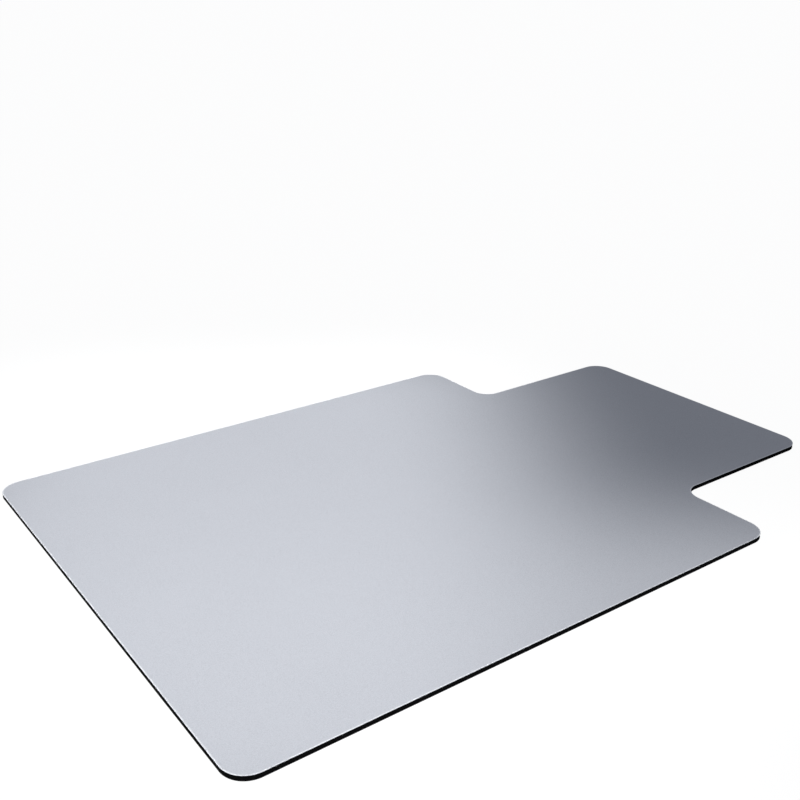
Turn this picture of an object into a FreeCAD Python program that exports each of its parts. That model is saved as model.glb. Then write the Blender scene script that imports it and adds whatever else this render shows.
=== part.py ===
import FreeCAD, Part
import math
import os
import Sketcher

# Chair mat for hard floors: a wide body that the chair rolls on and a narrower lip that
# goes under the desk, die-cut from layers that are bonded face to face.
# Millimetres. +Z is up, X runs across the mat and +Y points at the desk. The origin is
# at floor level in the middle of the outline's box.

SIZES = [
    ("mat_width", 1200.0, "across the body"),
    ("body_depth", 1300.0, "from the plain short edge to the shoulders"),
    ("lip_length", 460.0, "from the shoulders to the end of the lip"),
    ("lip_width", 720.0, "across the lip"),
    ("corner_radius", 50.0, "the six outer corners"),
    ("notch_radius", 45.0, "the two inner corners where the lip meets the body"),
    ("face_thickness", 0.8, "low pile polyester face"),
    ("face_edge_radius", 0.4, "rounding of the face's top edge"),
    ("film_thickness", 0.2, "each hot melt bond film"),
    ("foam_thickness", 8.0, "dense rubber foam core"),
    ("backing_thickness", 1.8, "grip backing, ribs included"),
    ("groove_depth", 1.0, "grooves that leave the grip ribs"),
    ("groove_width", 6.0, "along Y"),
    ("groove_pitch", 12.0, "from one groove to the next along Y"),
    ("groove_land", 10.0, "plain land kept between the grooves and the outline"),
]

ORIGIN_POINT = (-1, 1)  # the sketch's own origin, as a geometry index and a point
START, END = 1, 2
FOLDER = "parts"
VOLUME_TOLERANCE = 1.0  # cubic millimetres
TOUCH_TOLERANCE = 1e-4

# How far inside the outline the grooves stay. At a rounded corner the term in
# corner_radius keeps the land's width on the diagonal as well.
GROOVE_INSET = "(Sizes.groove_land + Sizes.corner_radius * (1 - sqrt(0.5)))"
TOTAL_DEPTH = "(Sizes.body_depth + Sizes.lip_length)"


def make_sheet(doc):
    sheet = doc.addObject("Spreadsheet::Sheet", "Sizes")
    for row, (alias, value, note) in enumerate(SIZES, start=1):
        sheet.set(f"A{row}", alias)
        sheet.set(f"B{row}", str(value))
        sheet.setAlias(f"B{row}", alias)
        sheet.set(f"C{row}", note)
    doc.recompute()
    return sheet


def origin_feature(body, role):
    return next(f for f in body.Origin.OriginFeatures if f.Role == role)


def make_body(doc, name, height):
    """A body that lies at the given height, an expression in the sheet's sizes."""
    body = doc.addObject("PartDesign::Body", name)
    body.Label = name
    if height:
        body.setExpression("Placement.Base.z", height)
    return body


def make_sketch(body, name):
    sketch = body.newObject("Sketcher::SketchObject", name)
    sketch.AttachmentSupport = [(origin_feature(body, "XY_Plane"), "")]
    sketch.MapMode = "FlatFace"
    return sketch


def bind(sketch, name, constraint, expression):
    """Adds a dimension to the sketch and ties it to the sheet."""
    index = sketch.addConstraint(constraint)
    sketch.renameConstraint(index, name)
    sketch.setExpression(f"Constraints.{name}", expression)


def tee_corners(sheet):
    """The outline's corners anticlockwise from the front left, with each one's radius."""
    half_body = sheet.mat_width / 2
    half_lip = sheet.lip_width / 2
    front = -(sheet.body_depth + sheet.lip_length) / 2
    shoulder = front + sheet.body_depth
    back = -front
    outer, inner = "corner_radius", "notch_radius"
    return [
        (-half_body, front, outer),
        (half_body, front, outer),
        (half_body, shoulder, outer),
        (half_lip, shoulder, inner),
        (half_lip, back, outer),
        (-half_lip, back, outer),
        (-half_lip, shoulder, inner),
        (-half_body, shoulder, outer),
    ]


def corner_arc(before, corner, after, radius):
    """Start, end, centre and turn of the arc that rounds a right-angled corner."""
    into = (corner - before).normalize()
    out = (after - corner).normalize()
    start = corner - into * radius
    end = corner + out * radius
    centre = start + out * radius
    turns_left = into.cross(out).z > 0
    return start, end, centre, turns_left


def add_arc(sketch, start, end, centre, radius, turns_left):
    circle = Part.Circle(centre, FreeCAD.Vector(0, 0, 1), radius)
    first, last = (start, end) if turns_left else (end, start)
    angles = [math.atan2(p.y - centre.y, p.x - centre.x) for p in (first, last)]
    return sketch.addGeometry(Part.ArcOfCircle(circle, *angles))


def draw_outline(body, sheet):
    """The mat's outline: straight sides joined by tangent arcs, every size tied."""
    sketch = make_sketch(body, f"{body.Name}_outline")
    corners = tee_corners(sheet)
    places = [FreeCAD.Vector(x, y, 0) for x, y, _ in corners]
    count = len(corners)
    arcs = []
    for i, (_, _, alias) in enumerate(corners):
        radius = getattr(sheet, alias)
        shape = corner_arc(places[i - 1], places[i], places[(i + 1) % count], radius)
        arcs.append((*shape, radius))
    sides = []
    for i in range(count):
        line = Part.LineSegment(arcs[i][1], arcs[(i + 1) % count][0])
        sides.append(sketch.addGeometry(line))
    for i, (start, end, centre, turns_left, radius) in enumerate(arcs):
        arc = add_arc(sketch, start, end, centre, radius, turns_left)
        arc_ends = (START, END) if turns_left else (END, START)
        tangent = Sketcher.Constraint("Tangent", sides[i - 1], END, arc, arc_ends[0])
        sketch.addConstraint(tangent)
        tangent = Sketcher.Constraint("Tangent", arc, arc_ends[1], sides[i], START)
        sketch.addConstraint(tangent)
        bind(
            sketch,
            f"radius_{i}",
            Sketcher.Constraint("Radius", arc, radius),
            f"Sizes.{corners[i][2]}",
        )
    for i, side in enumerate(sides):
        level = "Horizontal" if i % 2 == 0 else "Vertical"
        sketch.addConstraint(Sketcher.Constraint(level, side))
    size_outline(sketch, sides, sheet)
    return sketch


def size_outline(sketch, sides, sheet):
    """Dimensions of the outline. The sides run front, right, right shoulder, right of
    the lip, back, left of the lip, left shoulder, left."""
    front, right, shoulder_right, lip_right, back, lip_left, shoulder_left, left = sides
    for name, side, alias in (
        ("half_width_right", right, "mat_width"),
        ("half_lip_right", lip_right, "lip_width"),
    ):
        half = getattr(sheet, alias) / 2
        datum = Sketcher.Constraint("DistanceX", *ORIGIN_POINT, side, START, half)
        bind(sketch, name, datum, f"Sizes.{alias} / 2")
    for name, side, alias in (
        ("half_width_left", left, "mat_width"),
        ("half_lip_left", lip_left, "lip_width"),
    ):
        half = getattr(sheet, alias) / 2
        datum = Sketcher.Constraint("DistanceX", side, START, *ORIGIN_POINT, half)
        bind(sketch, name, datum, f"Sizes.{alias} / 2")
    half_depth = (sheet.body_depth + sheet.lip_length) / 2
    datum = Sketcher.Constraint("DistanceY", front, START, *ORIGIN_POINT, half_depth)
    bind(sketch, "half_depth", datum, f"{TOTAL_DEPTH} / 2")
    for name, side in (("depth_right", shoulder_right), ("depth_left", shoulder_left)):
        datum = Sketcher.Constraint(
            "DistanceY", front, START, side, START, sheet.body_depth
        )
        bind(sketch, name, datum, "Sizes.body_depth")
    datum = Sketcher.Constraint(
        "DistanceY", shoulder_right, START, back, START, sheet.lip_length
    )
    bind(sketch, "lip_length", datum, "Sizes.lip_length")


def make_layer(doc, sheet, name, thickness, height):
    """One die-cut layer: the outline padded to its thickness."""
    body = make_body(doc, name, height)
    sketch = draw_outline(body, sheet)
    doc.recompute()
    pad = body.newObject("PartDesign::Pad", f"{name}_pad")
    pad.Profile = sketch
    pad.setExpression("Length", f"Sizes.{thickness}")
    doc.recompute()
    return body


def round_top_edge(doc, body, radius):
    """Rounds every edge of the body's highest face."""
    base = body.Tip
    top = base.Shape.BoundBox.ZMax
    names = [
        f"Edge{i}"
        for i, edge in enumerate(base.Shape.Edges, start=1)
        if edge.BoundBox.ZMin > top - TOUCH_TOLERANCE
    ]
    fillet = body.newObject("PartDesign::Fillet", f"{body.Name}_edge")
    fillet.Base = (base, names)
    fillet.setExpression("Radius", f"Sizes.{radius}")
    doc.recompute()


def cut_grooves(doc, sheet, body, name, width, near, far):
    """Cuts a field of equal grooves into the body's underside. The field's width and
    its two ends along Y are expressions; the grooves are centred between the ends."""
    count = f"floor(({far} - {near} - Sizes.groove_width) / Sizes.groove_pitch + 1)"
    first = (
        f"({near} + {far} - ({count} - 1) * Sizes.groove_pitch"
        " - Sizes.groove_width) / 2"
    )
    sketch = make_sketch(body, f"{name}_groove")
    corners = [(-1, -2), (1, -2), (1, -1), (-1, -1)]
    points = [FreeCAD.Vector(x, y, 0) for x, y in corners]
    sides = []
    for i, point in enumerate(points):
        line = Part.LineSegment(point, points[(i + 1) % len(points)])
        sides.append(sketch.addGeometry(line))
    for i, side in enumerate(sides):
        joint = Sketcher.Constraint("Coincident", sides[i - 1], END, side, START)
        sketch.addConstraint(joint)
        level = "Horizontal" if i % 2 == 0 else "Vertical"
        sketch.addConstraint(Sketcher.Constraint(level, side))
    near_side, right_side = sides[0], sides[1]
    datum = Sketcher.Constraint("DistanceX", near_side, START, near_side, END, 2)
    bind(sketch, "length", datum, width)
    datum = Sketcher.Constraint("DistanceX", *ORIGIN_POINT, near_side, END, 1)
    bind(sketch, "half_length", datum, f"({width}) / 2")
    datum = Sketcher.Constraint("DistanceY", right_side, START, right_side, END, 1)
    bind(sketch, "width", datum, "Sizes.groove_width")
    datum = Sketcher.Constraint("DistanceY", near_side, START, *ORIGIN_POINT, 2)
    bind(sketch, "first", datum, f"-({first})")
    doc.recompute()

    before = body.Tip.Shape.Volume
    pocket = body.newObject("PartDesign::Pocket", f"{name}_pocket")
    pocket.Profile = sketch
    pocket.Reversed = True
    pocket.setExpression("Length", "Sizes.groove_depth")
    doc.recompute()
    pattern = body.newObject("PartDesign::LinearPattern", f"{name}_grooves")
    pattern.Originals = [pocket]
    pattern.Direction = (origin_feature(body, "Y_Axis"), [""])
    pattern.Mode = "Spacing"
    pattern.setExpression("Offset", "Sizes.groove_pitch")
    pattern.setExpression("Occurrences", count)
    body.Tip = pattern
    doc.recompute()

    groove = sketch.Shape.BoundBox
    removed = groove.XLength * groove.YLength * sheet.groove_depth
    expected = before - pattern.Occurrences * removed
    if abs(pattern.Shape.Volume - expected) > VOLUME_TOLERANCE:
        raise RuntimeError(f"{name}: the grooves cut {before - pattern.Shape.Volume}")
    print(f"{name}: {pattern.Occurrences} grooves")


def make_grip_backing(doc, sheet):
    body = make_layer(doc, sheet, "grip_backing", "backing_thickness", "")
    front = f"(-{TOTAL_DEPTH} / 2)"
    shoulder = f"({front} + Sizes.body_depth)"
    cut_grooves(
        doc,
        sheet,
        body,
        "body",
        width=f"Sizes.mat_width - 2 * {GROOVE_INSET}",
        near=f"({front} + {GROOVE_INSET})",
        far=f"({shoulder} - {GROOVE_INSET})",
    )
    cut_grooves(
        doc,
        sheet,
        body,
        "lip",
        width=f"Sizes.lip_width - 2 * {GROOVE_INSET}",
        near=f"({shoulder} + Sizes.groove_land)",
        far=f"({TOTAL_DEPTH} / 2 - {GROOVE_INSET})",
    )
    return body


def make_backing_bond_film(doc, sheet):
    height = "Sizes.backing_thickness"
    return make_layer(doc, sheet, "backing_bond_film", "film_thickness", height)


def make_foam_core(doc, sheet):
    height = "Sizes.backing_thickness + Sizes.film_thickness"
    return make_layer(doc, sheet, "foam_core", "foam_thickness", height)


def make_face_bond_film(doc, sheet):
    height = "Sizes.backing_thickness + Sizes.film_thickness + Sizes.foam_thickness"
    return make_layer(doc, sheet, "face_bond_film", "film_thickness", height)


def make_face_fabric(doc, sheet):
    height = "Sizes.backing_thickness + 2 * Sizes.film_thickness + Sizes.foam_thickness"
    body = make_layer(doc, sheet, "face_fabric", "face_thickness", height)
    round_top_edge(doc, body, "face_edge_radius")
    return body


def check(doc, layers):
    """Stops on a failed object, a bad shape, or layers that don't lie face to face."""
    for item in doc.Objects:
        if "Invalid" in item.State or "Error" in item.State:
            raise RuntimeError(f"{item.Name} failed: {item.State}")
    for body in layers:
        if body.Shape.isNull() or not body.Shape.isValid():
            raise RuntimeError(f"{body.Label} has no valid shape")
        if len(body.Shape.Solids) != 1:
            raise RuntimeError(f"{body.Label} is not one solid")
    for lower, upper in zip(layers, layers[1:]):
        step = upper.Shape.BoundBox.ZMin - lower.Shape.BoundBox.ZMax
        if abs(step) > TOUCH_TOLERANCE:
            raise RuntimeError(f"{lower.Label} and {upper.Label} are {step} apart")


def main():
    doc = FreeCAD.newDocument("ChairMat")
    sheet = make_sheet(doc)
    makers = (
        make_grip_backing,
        make_backing_bond_film,
        make_foam_core,
        make_face_bond_film,
        make_face_fabric,
    )
    layers = [make(doc, sheet) for make in makers]
    doc.recompute()
    check(doc, layers)
    os.makedirs(FOLDER, exist_ok=True)
    for body in layers:
        body.Shape.exportStep(os.path.join(FOLDER, f"{body.Label}.step"))
        box = body.Shape.BoundBox
        print(
            f"{body.Label}: {body.Shape.Volume / 1000:.1f} cm3, "
            f"z {box.ZMin:.2f} to {box.ZMax:.2f}"
        )


main()
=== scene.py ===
import math

import bmesh
import bpy
from mathutils import Matrix, Vector, noise


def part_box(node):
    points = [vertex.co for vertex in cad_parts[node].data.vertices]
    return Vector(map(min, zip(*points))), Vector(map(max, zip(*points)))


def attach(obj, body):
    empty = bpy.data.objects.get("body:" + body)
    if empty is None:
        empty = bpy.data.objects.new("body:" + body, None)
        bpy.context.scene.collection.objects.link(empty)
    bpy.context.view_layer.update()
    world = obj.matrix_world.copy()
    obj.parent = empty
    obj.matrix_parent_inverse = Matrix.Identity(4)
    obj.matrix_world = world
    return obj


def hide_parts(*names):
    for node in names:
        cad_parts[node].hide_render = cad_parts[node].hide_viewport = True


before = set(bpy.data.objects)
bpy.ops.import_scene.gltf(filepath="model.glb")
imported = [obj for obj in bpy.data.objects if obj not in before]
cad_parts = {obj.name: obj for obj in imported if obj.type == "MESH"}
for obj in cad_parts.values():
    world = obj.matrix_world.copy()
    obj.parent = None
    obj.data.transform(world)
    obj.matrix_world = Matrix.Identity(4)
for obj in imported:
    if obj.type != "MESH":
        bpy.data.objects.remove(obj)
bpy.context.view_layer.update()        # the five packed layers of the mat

mm = 0.001
hair = 0.00001        # places closer than this are one place
creaseAngle = math.radians(38)        # edges that turn more than this stay sharp
scene = bpy.context.scene


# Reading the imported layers

def readOutline(node):
    # the T shape's own sizes, from where the layer's straight sides begin and end
    spots = [v.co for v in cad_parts[node].data.vertices]
    low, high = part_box(node)
    corner = high.x - max(p.x for p in spots if p.y < low.y + hair)
    lipHalf = max(p.x for p in spots if p.y > high.y - corner - hair)
    shoulder = max(p.y for p in spots if p.x > high.x - corner - hair)
    onShoulder = [p.x for p in spots if abs(p.y - shoulder) < hair and p.x > lipHalf + hair]
    return {
        "halfWidth": high.x,
        "lipHalf": lipHalf,
        "front": low.y,
        "shoulder": shoulder,
        "back": high.y,
        "corner": corner,
        "notch": min(onShoulder) - lipHalf,
    }


def readGrooves(node, fromY, toY):
    # one field of grooves: its half length, and where each groove begins and ends
    spots = [v.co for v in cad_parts[node].data.vertices]
    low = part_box(node)[0]
    ceiling = min(p.z for p in spots if p.z > low.z + hair)
    inField = [p for p in spots if abs(p.z - ceiling) < hair and fromY < p.y < toY]
    stops = sorted({round(p.y / hair) * hair for p in inField})
    return {
        "halfLength": max(p.x for p in inField),
        "starts": stops[0::2],
        "ends": stops[1::2],
        "ceiling": ceiling,
    }


def cornersOf(mat):
    half, lip = mat["halfWidth"], mat["lipHalf"]
    front, shoulder, back = mat["front"], mat["shoulder"], mat["back"]
    outer, notch = mat["corner"], mat["notch"]
    right = [
        (half, front, outer),
        (half, shoulder, outer),
        (lip, shoulder, notch),
        (lip, back, outer),
    ]
    left = [(-x, y, radius) for x, y, radius in reversed(right)]
    return right + left


def quarterTurn(steps):
    return [math.pi / 2 * k / steps for k in range(steps + 1)]


def roundedLoop(corners, arcStep, straightStep):
    # walks a loop anticlockwise and gives (place, outward direction) at each stop
    loop = []
    count = len(corners)
    for i, (x, y, radius) in enumerate(corners):
        corner = Vector((x, y))
        before = Vector(corners[i - 1][:2])
        after = Vector(corners[(i + 1) % count][:2])
        into = (corner - before).normalized()
        out = (after - corner).normalized()
        side = 1 if into.cross(out) > 0 else -1        # -1 where the outline turns inwards
        centre = corner + (out - into) * radius
        steps = max(3, math.ceil(math.pi / 2 * radius / arcStep))
        for turn in quarterTurn(steps):
            spoke = into * math.sin(turn) - out * math.cos(turn)
            loop.append((centre + spoke * radius, spoke * side))
        start = corner + out * radius
        end = after - out * corners[(i + 1) % count][2]
        stops = max(1, round((end - start).length / straightStep))
        outward = Vector((out.y, -out.x))
        loop += [(start.lerp(end, k / stops), outward) for k in range(1, stops)]
    return loop


# Mesh helpers

class Layer:
    # a sheet built ring by ring; rim is 1 on the cut edge and 0 from rimReach inwards
    swayScale = 11        # how quickly the cut wanders along the edge

    def __init__(self, loop, look):
        self.bm = bmesh.new()
        self.rim = self.bm.verts.layers.float.new("rim")
        self.loop = loop
        self.rimReach = look["rimReach"]
        self.wander = look["wander"]
        self.seed = look["seed"]

    def ring(self, inset, height):
        made = []
        for place, outward in self.loop:
            sway = noise.noise(Vector((place.x, place.y, self.seed)) * self.swayScale)
            spot = place - outward * (inset + sway * self.wander)
            vertex = self.bm.verts.new((spot.x, spot.y, height))
            vertex[self.rim] = max(0.0, 1 - inset / self.rimReach)
            made.append(vertex)
        return made

    def rings(self, section):
        # section runs as (inset, height); its rings are joined by one skin
        rings = [self.ring(inset, height) for inset, height in section]
        for lower, upper in zip(rings, rings[1:]):
            for k in range(len(lower)):
                after = (k + 1) % len(lower)
                face = self.bm.faces.new((lower[k], lower[after], upper[after], upper[k]))
                face.smooth = True
        return rings

    def finish(self, name, material):
        mesh = bpy.data.meshes.new(name)
        self.bm.normal_update()
        self.bm.to_mesh(mesh)
        self.bm.free()
        mesh.set_sharp_from_angle(angle=creaseAngle)
        mesh.materials.append(material)
        piece = bpy.data.objects.new(name, mesh)
        scene.collection.objects.link(piece)
        return piece


def buildSheet(name, loop, section, material, look):
    # section runs from under the sheet, round its cut side, to its top
    layer = Layer(loop, look)
    rings = layer.rings(section)
    layer.bm.faces.new(list(reversed(rings[0])))
    layer.bm.faces.new(rings[-1])
    return layer.finish(name, material)


def declare(piece, node):
    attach(piece, "root")
    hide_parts(node)


# Node helpers

def addNode(tree, kind, **settings):
    node = tree.nodes.new(kind)
    for key, value in settings.items():
        if isinstance(value, bpy.types.NodeSocket):
            tree.links.new(value, node.inputs[key.replace("_", " ")])
        elif key.replace("_", " ") in node.inputs.keys():
            node.inputs[key.replace("_", " ")].default_value = value
        else:
            setattr(node, key, value)
    return node


def maths(tree, operation, a, b=None, clamp=False):
    node = tree.nodes.new("ShaderNodeMath")
    node.operation, node.use_clamp = operation, clamp
    for socket, value in zip(node.inputs, (a, b)):
        if isinstance(value, bpy.types.NodeSocket):
            tree.links.new(value, socket)
        elif value is not None:
            socket.default_value = value
    return node.outputs[0]


def spread(tree, value, fromLow, fromHigh, toLow=0.0, toHigh=1.0):
    node = tree.nodes.new("ShaderNodeMapRange")
    tree.links.new(value, node.inputs["Value"])
    ends = {"From Min": fromLow, "From Max": fromHigh, "To Min": toLow, "To Max": toHigh}
    for key, number in ends.items():
        node.inputs[key].default_value = number
    return node.outputs["Result"]


def blendOf(tree, a, partOfA, b, partOfB):
    scaledA = maths(tree, "MULTIPLY", a, partOfA)
    scaledB = maths(tree, "MULTIPLY", b, partOfB)
    return maths(tree, "ADD", scaledA, scaledB)


def heightOf(tree, at, fromZ, toZ):
    # 0 at height fromZ and 1 at toZ, in the mat's own frame
    place = addNode(tree, "ShaderNodeSeparateXYZ", Vector=at)
    return spread(tree, place.outputs["Z"], fromZ, toZ)


def mixColours(tree, factor, a, b):
    node = tree.nodes.new("ShaderNodeMix")
    node.data_type = "RGBA"
    tree.links.new(factor, node.inputs["Factor"])
    for socket, value in zip([s for s in node.inputs if s.type == "RGBA"], (a, b)):
        if isinstance(value, bpy.types.NodeSocket):
            tree.links.new(value, socket)
        else:
            socket.default_value = (*value, 1)
    return next(s for s in node.outputs if s.type == "RGBA")


def newGroup(name, inputs, outputs):
    tree = bpy.data.node_groups.new(name, "ShaderNodeTree")
    for key, value in inputs.items():
        kind = "NodeSocketVector" if value is None else "NodeSocketFloat"
        socket = tree.interface.new_socket(key, in_out="INPUT", socket_type=kind)
        if value is not None:
            socket.default_value = value
    for key in outputs:
        tree.interface.new_socket(key, in_out="OUTPUT", socket_type="NodeSocketFloat")
    return tree, tree.nodes.new("NodeGroupInput").outputs, tree.nodes.new("NodeGroupOutput").inputs


def useGroup(tree, group, vector, **values):
    node = tree.nodes.new("ShaderNodeGroup")
    node.node_tree = group
    tree.links.new(vector, node.inputs["Vector"])
    for key, value in values.items():
        node.inputs[key].default_value = value
    return node.outputs


# Effects that several materials share

def fibreStrands(tree, vector, angle, fineness, seed):
    # thin streaks along one direction: noise read through a turned and stretched place
    turned = addNode(tree, "ShaderNodeVectorRotate", rotation_type="Z_AXIS", Vector=vector, Angle=angle)
    drawn = addNode(tree, "ShaderNodeMapping", Vector=turned.outputs[0],
                    Location=(seed, 0, 0), Scale=(0.16, 1, 0.5))
    strands = addNode(tree, "ShaderNodeTexNoise", Vector=drawn.outputs[0],
                      Scale=fineness, Detail=2.0, Distortion=0.5)
    return strands.outputs[0]


fibreLays = [(0.35, 0.0), (1.4, 0.31), (2.45, 0.74)]        # each way the fibres lie, and its seed


def makePileGroup():
    # short fibres that lie across each other in soft tufts: Height shapes the surface, and Tone follows it
    # as painted light on the crowns and painted shade between the tufts
    tree, given, out = newGroup(
        "shortPile",
        {"Vector": None, "Tufts": 700.0, "Fibres": 3600.0},
        ["Tone", "Height"],
    )
    tufts = addNode(tree, "ShaderNodeTexVoronoi", feature="SMOOTH_F1", Vector=given["Vector"],
                    Scale=given["Tufts"], Smoothness=0.8, Randomness=0.9)
    crowns = spread(tree, tufts.outputs["Distance"], 0.0, 0.75, 1.0, 0.0)        # 1 on top of a tuft
    laid = [fibreStrands(tree, given["Vector"], angle, given["Fibres"], seed) for angle, seed in fibreLays]
    upper = laid[0]
    for strand in laid[1:]:
        upper = maths(tree, "MAXIMUM", upper, strand)
    strands = spread(tree, upper, 0.45, 0.75)        # only the fibres that lie uppermost
    mixed = blendOf(tree, crowns, 0.4, strands, 0.6)
    tree.links.new(mixed, out["Height"])
    tree.links.new(spread(tree, mixed, 0.2, 0.8), out["Tone"])
    return tree


def makeDriftGroup():
    # slow patches, as where pile has been brushed or rubber has aged: from 0 to 1
    tree, given, out = newGroup(
        "slowDrift",
        {"Vector": None, "Patches": 6.0},
        ["Tone"],
    )
    finer = maths(tree, "MULTIPLY", given["Patches"], 9.0)
    broad = addNode(tree, "ShaderNodeTexNoise", Vector=given["Vector"], Scale=given["Patches"], Detail=2.0)
    fine = addNode(tree, "ShaderNodeTexNoise", Vector=given["Vector"], Scale=finer, Detail=3.0)
    both = blendOf(tree, broad.outputs[0], 0.6, fine.outputs[0], 0.4)
    tree.links.new(spread(tree, both, 0.3, 0.7), out["Tone"])
    return tree


def makeCellGroup():
    # the cut cells and grain of foam and rubber: Pits is 1 in a pore, Height falls into it; the materials
    # darken the pits as painted shade
    tree, given, out = newGroup(
        "rubberCells",
        {"Vector": None, "Cells": 900.0, "Pores": 0.4},
        ["Pits", "Height"],
    )
    coarser = maths(tree, "MULTIPLY", given["Cells"], 0.35)
    cells = addNode(tree, "ShaderNodeTexVoronoi", Vector=given["Vector"],
                    Scale=given["Cells"], Randomness=1.0)
    grain = addNode(tree, "ShaderNodeTexNoise", Vector=given["Vector"],
                    Scale=coarser, Detail=4.0, Roughness=0.6)
    opened = maths(tree, "MULTIPLY", spread(tree, cells.outputs["Distance"], 0.28, 0.12), given["Pores"])
    patchy = spread(tree, grain.outputs[0], 0.45, 0.6)        # the pores come in clusters
    pits = maths(tree, "MULTIPLY", opened, patchy)
    raised = maths(tree, "MULTIPLY", grain.outputs[0], 0.5)
    tree.links.new(pits, out["Pits"])
    tree.links.new(maths(tree, "SUBTRACT", raised, pits), out["Height"])
    return tree


def makeWearGroup():
    # a mask along the cut edge, from the piece's own rim values: dust on the black layers, a painted
    # highlight on the pile; Even 1 leaves no breaks in it
    tree, given, out = newGroup(
        "edgeWear",
        {"Vector": None, "Reach": 0.5, "Breaks": 130.0, "Even": 0.0},
        ["Wear"],
    )
    rim = addNode(tree, "ShaderNodeAttribute", attribute_name="rim")
    breaks = addNode(tree, "ShaderNodeTexNoise", Vector=given["Vector"],
                     Scale=given["Breaks"], Detail=3.0)
    inner = maths(tree, "SUBTRACT", 1.0, given["Reach"])
    near = maths(tree, "SUBTRACT", rim.outputs["Fac"], inner, clamp=True)
    near = maths(tree, "DIVIDE", near, given["Reach"])
    kept = maths(tree, "MAXIMUM", spread(tree, breaks.outputs[0], 0.42, 0.66), given["Even"])
    tree.links.new(maths(tree, "MULTIPLY", near, kept), out["Wear"])
    return tree


pileGroup = makePileGroup()
driftGroup = makeDriftGroup()
cellGroup = makeCellGroup()
rimDustAndHighlightGroup = makeWearGroup()
print("effects made")


def newMaterial(name):
    material = bpy.data.materials.new(name)
    material.use_nodes = True
    tree = material.node_tree
    shader = next(n for n in tree.nodes if n.type == "BSDF_PRINCIPLED")
    coordinates = tree.nodes.new("ShaderNodeTexCoord").outputs["Object"]
    return material, tree, shader, coordinates


def addBump(tree, shader, height, distance, strength):
    bump = addNode(tree, "ShaderNodeBump", Height=height, Distance=distance, Strength=strength)
    tree.links.new(bump.outputs["Normal"], shader.inputs["Normal"])


# Face: light grey low pile

greyPile = {
    "light": (0.640, 0.656, 0.692),        # tips of the fibres, as painted light on the crowns
    "dark": (0.478, 0.490, 0.523),         # painted shade between the tufts
    "brushed": (0.565, 0.580, 0.616),      # where the pile leans the other way
    "brushing": 0.3,                       # how much of that lean shows
    "rimHighlight": (0.93, 0.945, 0.965),        # painted highlight along the cut edge, with the lighter cut fibres there
    "highlightReach": 0.24,
    "highlightBreaks": 420.0,
    "highlightEven": 0.85,
    "soaked": (0.008, 0.008, 0.0085),      # ground cloth that the black melt has soaked
    "soakedTo": 0.55,                      # how far up the face's thickness the melt comes
    "soakedFade": 0.1 * mm,
    "cleanTo": 0.05 * mm,                  # no melt shows this near the top
    "cleanFade": 0.2 * mm,
    "tufts": 520.0,
    "fibres": 3600.0,
    "patches": 5.0,
    "relief": 0.35 * mm,
    "bump": 0.6,
    "rough": (0.98, 0.86),
    "shine": 0.2,
    "sheen": 0.12,
    "sheenRough": 0.6,
}


def makeGreyPile():
    material, tree, shader, at = newMaterial("greyPile")
    pile = useGroup(tree, pileGroup, at, Tufts=greyPile["tufts"], Fibres=greyPile["fibres"])
    drift = useGroup(tree, driftGroup, at, Patches=greyPile["patches"])
    dustAndHighlight = useGroup(tree, rimDustAndHighlightGroup, at, Reach=greyPile["highlightReach"],
                    Breaks=greyPile["highlightBreaks"], Even=greyPile["highlightEven"])
    # the colour follows the pile's height: painted light on the crowns, painted shade between the tufts
    colour = mixColours(tree, pile["Tone"], greyPile["dark"], greyPile["light"])
    brushed = maths(tree, "MULTIPLY", drift["Tone"], greyPile["brushing"])
    colour = mixColours(tree, brushed, colour, greyPile["brushed"])
    # lightens the pile along the cut edge: a painted highlight, with the lighter cut fibres there
    colour = mixColours(tree, dustAndHighlight["Wear"], colour, greyPile["rimHighlight"])

    low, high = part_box("face_fabric")
    melt = low.z + (high.z - low.z) * greyPile["soakedTo"]
    clean = high.z - greyPile["cleanTo"]
    ragged = spread(tree, pile["Height"], 0.2, 0.8, -0.5, 0.5)
    soaked = heightOf(tree, at, melt + greyPile["soakedFade"], melt - greyPile["soakedFade"])
    soaked = maths(tree, "ADD", soaked, ragged, clamp=True)
    below = heightOf(tree, at, clean, clean - greyPile["cleanFade"])
    soaked = maths(tree, "MULTIPLY", soaked, below, clamp=True)
    colour = mixColours(tree, soaked, colour, greyPile["soaked"])

    tree.links.new(colour, shader.inputs["Base Color"])
    tree.links.new(spread(tree, pile["Tone"], 0.0, 1.0, *greyPile["rough"]), shader.inputs["Roughness"])
    shader.inputs["Specular IOR Level"].default_value = greyPile["shine"]
    shader.inputs["Sheen Weight"].default_value = greyPile["sheen"]
    shader.inputs["Sheen Roughness"].default_value = greyPile["sheenRough"]
    addBump(tree, shader, pile["Height"], greyPile["relief"], greyPile["bump"])
    return material


# Foam, film and rubber: the black side of the mat

blackFoam = {
    "skin": (0.0032, 0.0032, 0.0034),
    "shadedPore": (0.0010, 0.0010, 0.0011),
    "dust": (0.012, 0.012, 0.0125),
    "cells": 1500.0,
    "pores": 0.9,
    "relief": 0.25 * mm,
    "rough": (0.72, 0.95),
    "shine": 0.03,
}
bondFilm = {
    "skin": (0.0050, 0.0050, 0.0053),
    "shadedPore": (0.0030, 0.0030, 0.0032),
    "dust": (0.014, 0.014, 0.0145),
    "cells": 420.0,
    "pores": 0.2,
    "relief": 0.05 * mm,
    "rough": (0.32, 0.6),
    "shine": 0.08,
}
blackRubber = {
    "skin": (0.0065, 0.0065, 0.0069),
    "shadedPore": (0.0040, 0.0040, 0.0042),
    "dust": (0.018, 0.018, 0.0185),
    "scuff": (0.034, 0.0335, 0.033),       # what the floor leaves on the ribs and the land
    "cells": 700.0,
    "pores": 0.35,
    "relief": 0.12 * mm,
    "rough": (0.55, 0.8),
    "shine": 0.12,
}
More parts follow.
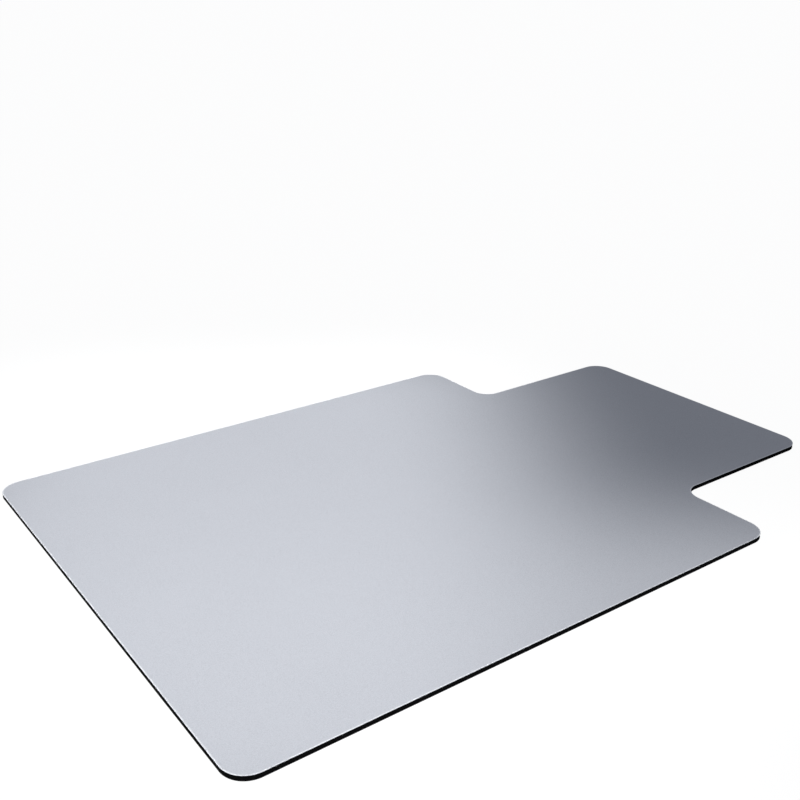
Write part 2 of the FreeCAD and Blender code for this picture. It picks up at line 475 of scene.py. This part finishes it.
blackAge = {
    "patches": 14.0,
    "dustReach": 0.5,
    "dustBreaks": 95.0,
    "dusting": 0.45,
    "rubHeight": 0.12 * mm,                # how high above the floor the rubbing reaches
    "rubbing": (0.3, 0.7),
    "bump": 0.7,
}


def makeRubber(name, look):
    material, tree, shader, at = newMaterial(name)
    cells = useGroup(tree, cellGroup, at, Cells=look["cells"], Pores=look["pores"])
    drift = useGroup(tree, driftGroup, at, Patches=blackAge["patches"])
    dustAndHighlight = useGroup(tree, rimDustAndHighlightGroup, at, Reach=blackAge["dustReach"], Breaks=blackAge["dustBreaks"])
    # darker in the pores: painted shade in the pits
    colour = mixColours(tree, cells["Pits"], look["skin"], look["shadedPore"])
    dusting = maths(tree, "MULTIPLY", drift["Tone"], blackAge["dusting"])
    dusty = maths(tree, "MULTIPLY", dustAndHighlight["Wear"], dusting)
    colour = mixColours(tree, dusty, colour, look["dust"])
    if "scuff" in look:
        touching = heightOf(tree, at, blackAge["rubHeight"], 0.0)
        rubbing = spread(tree, drift["Tone"], 0.0, 1.0, *blackAge["rubbing"])
        rubbed = maths(tree, "MULTIPLY", touching, rubbing)
        colour = mixColours(tree, rubbed, colour, look["scuff"])
    tree.links.new(colour, shader.inputs["Base Color"])
    tree.links.new(spread(tree, drift["Tone"], 0.0, 1.0, *look["rough"]), shader.inputs["Roughness"])
    shader.inputs["Specular IOR Level"].default_value = look["shine"]
    addBump(tree, shader, cells["Height"], look["relief"], blackAge["bump"])
    return material


pileMaterial = makeGreyPile()
foamMaterial = makeRubber("blackFoam", blackFoam)
filmMaterial = makeRubber("bondFilm", bondFilm)
rubberMaterial = makeRubber("blackRubber", blackRubber)
print("materials made")


# The outline that every layer is cut to

outline = readOutline("foam_core")
cutting = {
    "arcStep": 2.2 * mm,          # between stops on a corner
    "straightStep": 12 * mm,      # and on a straight side
}
cutLoop = roundedLoop(cornersOf(outline), cutting["arcStep"], cutting["straightStep"])
print("outline has", len(cutLoop), "stops")


# Face fabric

faceFabric = {
    "roll": 0.35 * mm,            # the cut edge's rounding, down towards the foam
    "rollStops": 7,
    "proud": 0.12 * mm,           # how far the pile stands out past the foam's cut
    "flare": ((0.4, 0.06 * mm), (1.0, 0.2 * mm)),        # (share of proud, height) under the roll
    "under": (0.15 * mm, 9 * mm),            # rings on the underside, inwards from the cut
    "over": (1.4 * mm, 5 * mm, 14 * mm),     # and on the pile
    "rimReach": 14 * mm,
    "wander": 0.12 * mm,
    "seed": 1.5,
}


def makeFaceFabric():
    low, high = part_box("face_fabric")
    roll, proud = faceFabric["roll"], faceFabric["proud"]
    section = [(inset, low.z) for inset in reversed(faceFabric["under"])]
    section += [(-share * proud, low.z + height) for share, height in faceFabric["flare"]]
    for turn in quarterTurn(faceFabric["rollStops"]):
        inset = roll - proud - roll * math.cos(turn)
        section.append((inset, high.z - roll + roll * math.sin(turn)))
    section += [(inset, high.z) for inset in faceFabric["over"]]
    piece = buildSheet("faceFabric", cutLoop, section, pileMaterial, faceFabric)
    declare(piece, "face_fabric")


# Foam core

foamCore = {
    "bow": 0.35 * mm,             # the die pulls the foam's side in by this much at mid height
    "bowShape": 0.8,              # under 1 the side is flatter in the middle
    "stops": 12,
    "flats": (1.5 * mm, 8 * mm),  # rings on the top and the bottom, inwards from the cut
    "rimReach": 5 * mm,
    "wander": 0.15 * mm,
    "seed": 4.0,
}


def makeFoamCore():
    low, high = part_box("foam_core")
    section = [(inset, low.z) for inset in reversed(foamCore["flats"])]
    for k in range(foamCore["stops"] + 1):
        part = k / foamCore["stops"]
        inset = foamCore["bow"] * math.sin(math.pi * part) ** foamCore["bowShape"]
        section.append((inset, low.z + (high.z - low.z) * part))
    section += [(inset, high.z) for inset in foamCore["flats"]]
    piece = buildSheet("foamCore", cutLoop, section, foamMaterial, foamCore)
    declare(piece, "foam_core")


# Bond films

bondFilms = {
    "bead": 0.08 * mm,            # the melt that the press squeezed past the cut
    "neck": 0.02 * mm,            # how far from each face the bead begins
    "flats": (0.1 * mm, 6 * mm),
    "rimReach": 3 * mm,
    "wander": 0.10 * mm,
}


def makeBondFilm(name, node, seed):
    low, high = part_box(node)
    middle = (low.z + high.z) / 2
    neck = bondFilms["neck"]
    section = [(inset, low.z) for inset in reversed(bondFilms["flats"])]
    section += [(0, low.z + neck), (-bondFilms["bead"], middle), (0, high.z - neck)]
    section += [(inset, high.z) for inset in bondFilms["flats"]]
    piece = buildSheet(name, cutLoop, section, filmMaterial, {**bondFilms, "seed": seed})
    declare(piece, node)


# Grip backing: a plain land round two fields of ribs

gripBacking = {
    "edge": 0.4 * mm,             # rounding of the lower outer edge
    "fieldEdge": 0.25 * mm,       # rounding where the land drops into a field
    "edgeStops": 6,
    "fieldCorner": 3 * mm,
    "fieldArcStep": 0.8 * mm,
    "fieldStraightStep": 40 * mm,
    "fieldFoot": 0.1 * mm,        # chamfer where a field's wall meets its ceiling
    "fieldFlat": 0.3 * mm,        # the ceiling is flat from here inwards
    "over": (0, 1.2 * mm, 7 * mm),
    "rimReach": 10 * mm,
    "wander": 0.10 * mm,
    "seed": 7.0,
}


def fieldLoop(grooves):
    half, near, far = grooves["halfLength"], grooves["starts"][0], grooves["ends"][-1]
    radius = gripBacking["fieldCorner"]
    corners = [(x, y, radius) for x, y in ((half, near), (half, far), (-half, far), (-half, near))]
    return roundedLoop(corners, gripBacking["fieldArcStep"], gripBacking["fieldStraightStep"])


def sinkField(layer, grooves, floorZ):
    # the wall and the ceiling of one field, and the edge where it meets the land
    layer.loop, layer.wander = fieldLoop(grooves), 0.0
    ceiling, foot = grooves["ceiling"], gripBacking["fieldFoot"]
    edge = gripBacking["fieldEdge"]
    section = []
    for turn in quarterTurn(gripBacking["edgeStops"]):
        section.append((edge * (math.sin(turn) - 1), floorZ + edge * (1 - math.cos(turn))))
    section += [(foot, ceiling - foot), (gripBacking["fieldFlat"], ceiling)]
    rings = layer.rings(section)
    layer.bm.faces.new(list(reversed(rings[-1])))
    return rings[0]


def edgesOf(ring):
    pairs = zip(ring, ring[1:] + ring[:1])
    return [next(edge for edge in a.link_edges if edge.other_vert(a) == b) for a, b in pairs]


def makeGripBacking(fields):
    low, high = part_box("grip_backing")
    edge = gripBacking["edge"]
    layer = Layer(cutLoop, gripBacking)
    section = []
    for turn in quarterTurn(gripBacking["edgeStops"]):
        section.append((edge * (1 - math.sin(turn)), low.z + edge * (1 - math.cos(turn))))
    section += [(inset, high.z) for inset in gripBacking["over"]]
    rings = layer.rings(section)
    layer.bm.faces.new(rings[-1])
    borders = [rings[0]] + [sinkField(layer, grooves, low.z) for grooves in fields]
    edges = [edge for ring in borders for edge in edgesOf(ring)]
    bmesh.ops.triangle_fill(layer.bm, edges=edges, use_beauty=True, use_dissolve=False, normal=(0, 0, -1))
    piece = layer.finish("gripBacking", rubberMaterial)
    declare(piece, "grip_backing")


# Grip ribs: one bar between each two grooves

gripRibs = {
    "crest": 0.55 * mm,           # rounding of a rib's two lower edges
    "rooted": 0.3 * mm,           # how far a rib runs into the backing above and at its ends
    "crestStops": 5,
}


def makeRibTree():
    tree = bpy.data.node_groups.new("ribRow", "GeometryNodeTree")
    tree.interface.new_socket("Geometry", in_out="OUTPUT", socket_type="NodeSocketGeometry")
    kinds = {
        "Ribs": "Int",
        "First": "Vector",
        "Pitch": "Float",
        "Length": "Float",
        "Width": "Float",
        "Height": "Float",
        "Crest": "Float",
        "Crest Stops": "Int",
        "Rubber": "Material",
    }
    for key, kind in kinds.items():
        tree.interface.new_socket(key, in_out="INPUT", socket_type=f"NodeSocket{kind}")
    given = tree.nodes.new("NodeGroupInput").outputs
    link = tree.links.new

    halfLength = maths(tree, "MULTIPLY", given["Length"], 0.5)
    ends = []
    for sign in (-1.0, 1.0):
        end = tree.nodes.new("ShaderNodeCombineXYZ")
        link(maths(tree, "MULTIPLY", halfLength, sign), end.inputs["X"])
        ends.append(end.outputs[0])
    spine = tree.nodes.new("GeometryNodeCurvePrimitiveLine")
    link(ends[0], spine.inputs["Start"])
    link(ends[1], spine.inputs["End"])
    section = tree.nodes.new("GeometryNodeCurvePrimitiveQuadrilateral")
    link(given["Width"], section.inputs["Width"])
    link(given["Height"], section.inputs["Height"])
    rounded = tree.nodes.new("GeometryNodeFilletCurve")
    rounded.mode = "POLY"
    link(section.outputs[0], rounded.inputs["Curve"])
    link(given["Crest"], rounded.inputs["Radius"])
    link(given["Crest Stops"], rounded.inputs["Count"])
    bar = tree.nodes.new("GeometryNodeCurveToMesh")
    link(spine.outputs[0], bar.inputs["Curve"])
    link(rounded.outputs[0], bar.inputs["Profile Curve"])
    bar.inputs["Fill Caps"].default_value = True

    step = tree.nodes.new("ShaderNodeCombineXYZ")
    link(given["Pitch"], step.inputs["Y"])
    row = tree.nodes.new("GeometryNodeMeshLine")
    link(given["Ribs"], row.inputs["Count"])
    link(given["First"], row.inputs["Start Location"])
    link(step.outputs[0], row.inputs["Offset"])
    placed = tree.nodes.new("GeometryNodeInstanceOnPoints")
    link(row.outputs[0], placed.inputs["Points"])
    link(bar.outputs[0], placed.inputs["Instance"])
    real = tree.nodes.new("GeometryNodeRealizeInstances")
    link(placed.outputs[0], real.inputs[0])
    coated = tree.nodes.new("GeometryNodeSetMaterial")
    link(real.outputs[0], coated.inputs["Geometry"])
    link(given["Rubber"], coated.inputs["Material"])
    link(coated.outputs[0], tree.nodes.new("NodeGroupOutput").inputs[0])
    return tree


def growRibs(tree, name, grooves, low):
    # a row of ribs as a plain mesh, through the tree's named inputs
    starts, ends = grooves["starts"], grooves["ends"]
    width = starts[1] - ends[0]
    pitch = (starts[-1] - starts[0]) / (len(starts) - 1)
    depth = grooves["ceiling"] - low.z
    height = depth + gripRibs["rooted"]
    sizes = {
        "Ribs": len(starts) - 1,
        "First": (0.0, ends[0] + width / 2, low.z + height / 2),
        "Pitch": pitch,
        "Length": 2 * (grooves["halfLength"] + gripRibs["rooted"]),
        "Width": width,
        "Height": height,
        "Crest": gripRibs["crest"],
        "Crest Stops": gripRibs["crestStops"],
        "Rubber": rubberMaterial,
    }
    holder = bpy.data.objects.new(name, bpy.data.meshes.new(name))
    scene.collection.objects.link(holder)
    modifier = holder.modifiers.new("ribs", "NODES")
    modifier.node_group = tree
    for item in tree.interface.items_tree:
        if item.in_out == "INPUT":
            modifier[item.identifier] = sizes[item.name]
    grown = holder.evaluated_get(bpy.context.evaluated_depsgraph_get())
    mesh = bpy.data.meshes.new_from_object(grown)
    bpy.data.objects.remove(holder)
    return mesh


def makeGripRibs(fields):
    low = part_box("grip_backing")[0]
    tree = makeRibTree()
    bm = bmesh.new()
    for number, grooves in enumerate(fields):
        row = growRibs(tree, f"ribRow{number}", grooves, low)
        bm.from_mesh(row)
        bpy.data.meshes.remove(row)
    bmesh.ops.recalc_face_normals(bm, faces=bm.faces)
    for face in bm.faces:
        face.smooth = True
    mesh = bpy.data.meshes.new("gripRibs")
    bm.to_mesh(mesh)
    bm.free()
    mesh.set_sharp_from_angle(angle=creaseAngle)
    mesh.materials.clear()
    mesh.materials.append(rubberMaterial)
    piece = bpy.data.objects.new("gripRibs", mesh)
    scene.collection.objects.link(piece)
    declare(piece, "grip_backing")


makeFoamCore()
makeFaceFabric()
makeBondFilm("faceBondFilm", "face_bond_film", seed=11.0)
makeBondFilm("backingBondFilm", "backing_bond_film", seed=13.0)
print("face, films and foam made")
grooveFields = [
    readGrooves("grip_backing", outline["front"], outline["shoulder"]),
    readGrooves("grip_backing", outline["shoulder"], outline["back"]),
]
makeGripBacking(grooveFields)
makeGripRibs(grooveFields)
print("backing made, with", sum(len(g["starts"]) - 1 for g in grooveFields), "ribs")


# Studio

studio = {
    "floorReach": 90.0,
    "floorDrop": 0.3 * mm,        # keeps the floor off the backing's land
    "floorTone": 0.8,
    "floorPatches": 0.7,
    "floorDrift": (1.0, 0.985),   # how much the paper's tone varies
    "floorSeen": 0.12,            # how much of the light that falls on it the floor shows
    "floorGlow": 0.95,            # keeps the floor white where the softbox doesn't reach
    "sky": 1.0,
    "fill": 0.296,
    "fillTint": (0.90, 0.945, 1.06),
}
lamps = {
    "softbox": {
        "place": (-0.113, -0.533, 1.5),
        "aim": (-0.113, -0.533, 0.0),
        "turn": -30.7,
        "size": (2.21, 1.48),
        "spread": 35.3,
        "power": 8.33,
    },
    "sideFill": {
        "place": (0.749, 0.207, 1.0),
        "aim": (0.749, 0.207, 0.0),
        "turn": 0.0,
        "size": (0.39, 0.39),
        "spread": 56.3,
        "power": 0.518,
    },
    "nearFill": {
        "place": (0.311, -0.695, 1.2),
        "aim": (0.311, -0.695, 0.0),
        "turn": 0.0,
        "size": (0.4, 0.4),
        "spread": 85.1,
        "power": 0.348,
    },
    "underFill": {                # lights the underside, through the floor
        "place": (-1.3, 1.2, -1.3),
        "aim": (0.0, 0.0, 0.0),
        "turn": 0.0,
        "size": (1.4, 1.4),
        "spread": 120.0,
        "power": 60.0,
    },
}


def makeFloor():
    reach = studio["floorReach"]
    bm = bmesh.new()
    corners = [(-reach, -reach), (reach, -reach), (reach, reach), (-reach, reach)]
    bm.faces.new([bm.verts.new((x, y, -studio["floorDrop"])) for x, y in corners])
    mesh = bpy.data.meshes.new("studioFloor")
    bm.to_mesh(mesh)
    bm.free()
    material, tree, shader, at = newMaterial("palePaper")
    seen = tree.nodes.new("ShaderNodeLightPath").outputs["Is Camera Ray"]
    drift = useGroup(tree, driftGroup, at, Patches=studio["floorPatches"])
    tone = spread(tree, drift["Tone"], 0.0, 1.0, *studio["floorDrift"])
    tone = maths(tree, "MULTIPLY", tone, studio["floorTone"])
    tone = maths(tree, "MULTIPLY", tone, spread(tree, seen, 0.0, 1.0, 1.0, studio["floorSeen"]))
    tree.links.new(tone, shader.inputs["Base Color"])
    shader.inputs["Roughness"].default_value = 1.0
    shader.inputs["Specular IOR Level"].default_value = 0.0
    glow = addNode(tree, "ShaderNodeEmission")
    tree.links.new(maths(tree, "MULTIPLY", seen, studio["floorGlow"]), glow.inputs["Strength"])
    lit = tree.nodes.new("ShaderNodeAddShader")
    tree.links.new(shader.outputs[0], lit.inputs[0])
    tree.links.new(glow.outputs[0], lit.inputs[1])
    below = tree.nodes.new("ShaderNodeNewGeometry").outputs["Backfacing"]
    clear = tree.nodes.new("ShaderNodeBsdfTransparent")
    sided = tree.nodes.new("ShaderNodeMixShader")        # from below the floor is clear
    tree.links.new(below, sided.inputs[0])
    tree.links.new(lit.outputs[0], sided.inputs[1])
    tree.links.new(clear.outputs[0], sided.inputs[2])
    output = next(n for n in tree.nodes if n.type == "OUTPUT_MATERIAL")
    tree.links.new(sided.outputs[0], output.inputs["Surface"])
    mesh.materials.append(material)
    floor = bpy.data.objects.new("studioFloor", mesh)
    floor.visible_shadow = False        # lets the light below it through
    scene.collection.objects.link(floor)


def makeSky():
    world = bpy.data.worlds.new("studioSky")
    world.use_nodes = True
    scene.world = world
    tree = world.node_tree
    background = next(n for n in tree.nodes if n.type == "BACKGROUND")
    seen = tree.nodes.new("ShaderNodeLightPath").outputs["Is Camera Ray"]
    strength = spread(tree, seen, 0.0, 1.0, studio["fill"], studio["sky"])
    colour = mixColours(tree, seen, studio["fillTint"], (1, 1, 1))
    tree.links.new(strength, background.inputs["Strength"])
    tree.links.new(colour, background.inputs["Color"])


def makeLamp(name, look):
    lamp = bpy.data.lights.new(name, "AREA")
    lamp.shape = "RECTANGLE"
    lamp.size, lamp.size_y = look["size"]
    lamp.spread = math.radians(look["spread"])
    lamp.energy = look["power"]
    box = bpy.data.objects.new(name, lamp)
    box.location = look["place"]
    aim = (Vector(look["aim"]) - box.location).to_track_quat("-Z", "Y").to_matrix()
    turn = Matrix.Rotation(math.radians(look["turn"]), 3, "Z")
    box.rotation_euler = (aim @ turn).to_euler()
    box.visible_camera = False
    scene.collection.objects.link(box)


cameraView = {
    "place": (1.732, -1.391, 1.136),
    "lookAt": (-0.5015, 0.2234, 0.0),
    "lens": 46.74,
    "sensor": 36.0,
    "clip": (0.02, 400),
}


def makeCamera():
    lens = bpy.data.cameras.new("studioCamera")
    lens.lens, lens.sensor_width = cameraView["lens"], cameraView["sensor"]
    lens.clip_start, lens.clip_end = cameraView["clip"]
    camera = bpy.data.objects.new("studioCamera", lens)
    camera.location = cameraView["place"]
    aim = Vector(cameraView["lookAt"]) - camera.location
    camera.rotation_euler = aim.to_track_quat("-Z", "Y").to_euler()
    scene.collection.objects.link(camera)
    scene.camera = camera


makeFloor()
makeSky()
for name, look in lamps.items():
    makeLamp(name, look)
makeCamera()
scene.view_settings.view_transform = "Standard"
print("studio made")
